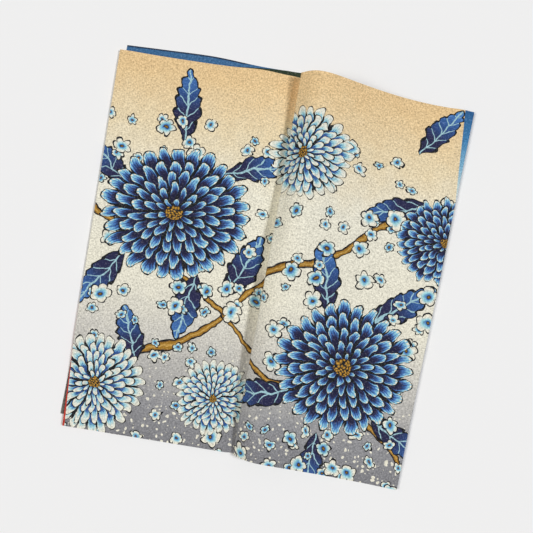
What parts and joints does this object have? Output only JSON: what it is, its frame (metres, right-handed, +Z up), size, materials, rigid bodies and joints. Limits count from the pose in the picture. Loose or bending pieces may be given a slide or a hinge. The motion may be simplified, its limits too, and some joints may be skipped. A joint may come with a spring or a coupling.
{
  "type": "tenugui towel",
  "caption": "Printed plain-weave cotton towel, folded back and forth into pages and lying open like a book, with one page arched up at the gutter.",
  "frame": {"origin": "middle of the footprint's box, on the surface the towel lies on", "axes": "+X across the open pages from the left page to the right page, +Y along the gutter towards the end where the arch is higher, +Z up"},
  "size_m": [0.3138, 0.3406, 0.0295],
  "materials": {
    "printed_cotton": "matt plain-weave cotton, printed on one face"
  },
  "bodies": {
    "root": {"towel": "printed_cotton"}
  },
  "joints": []
}
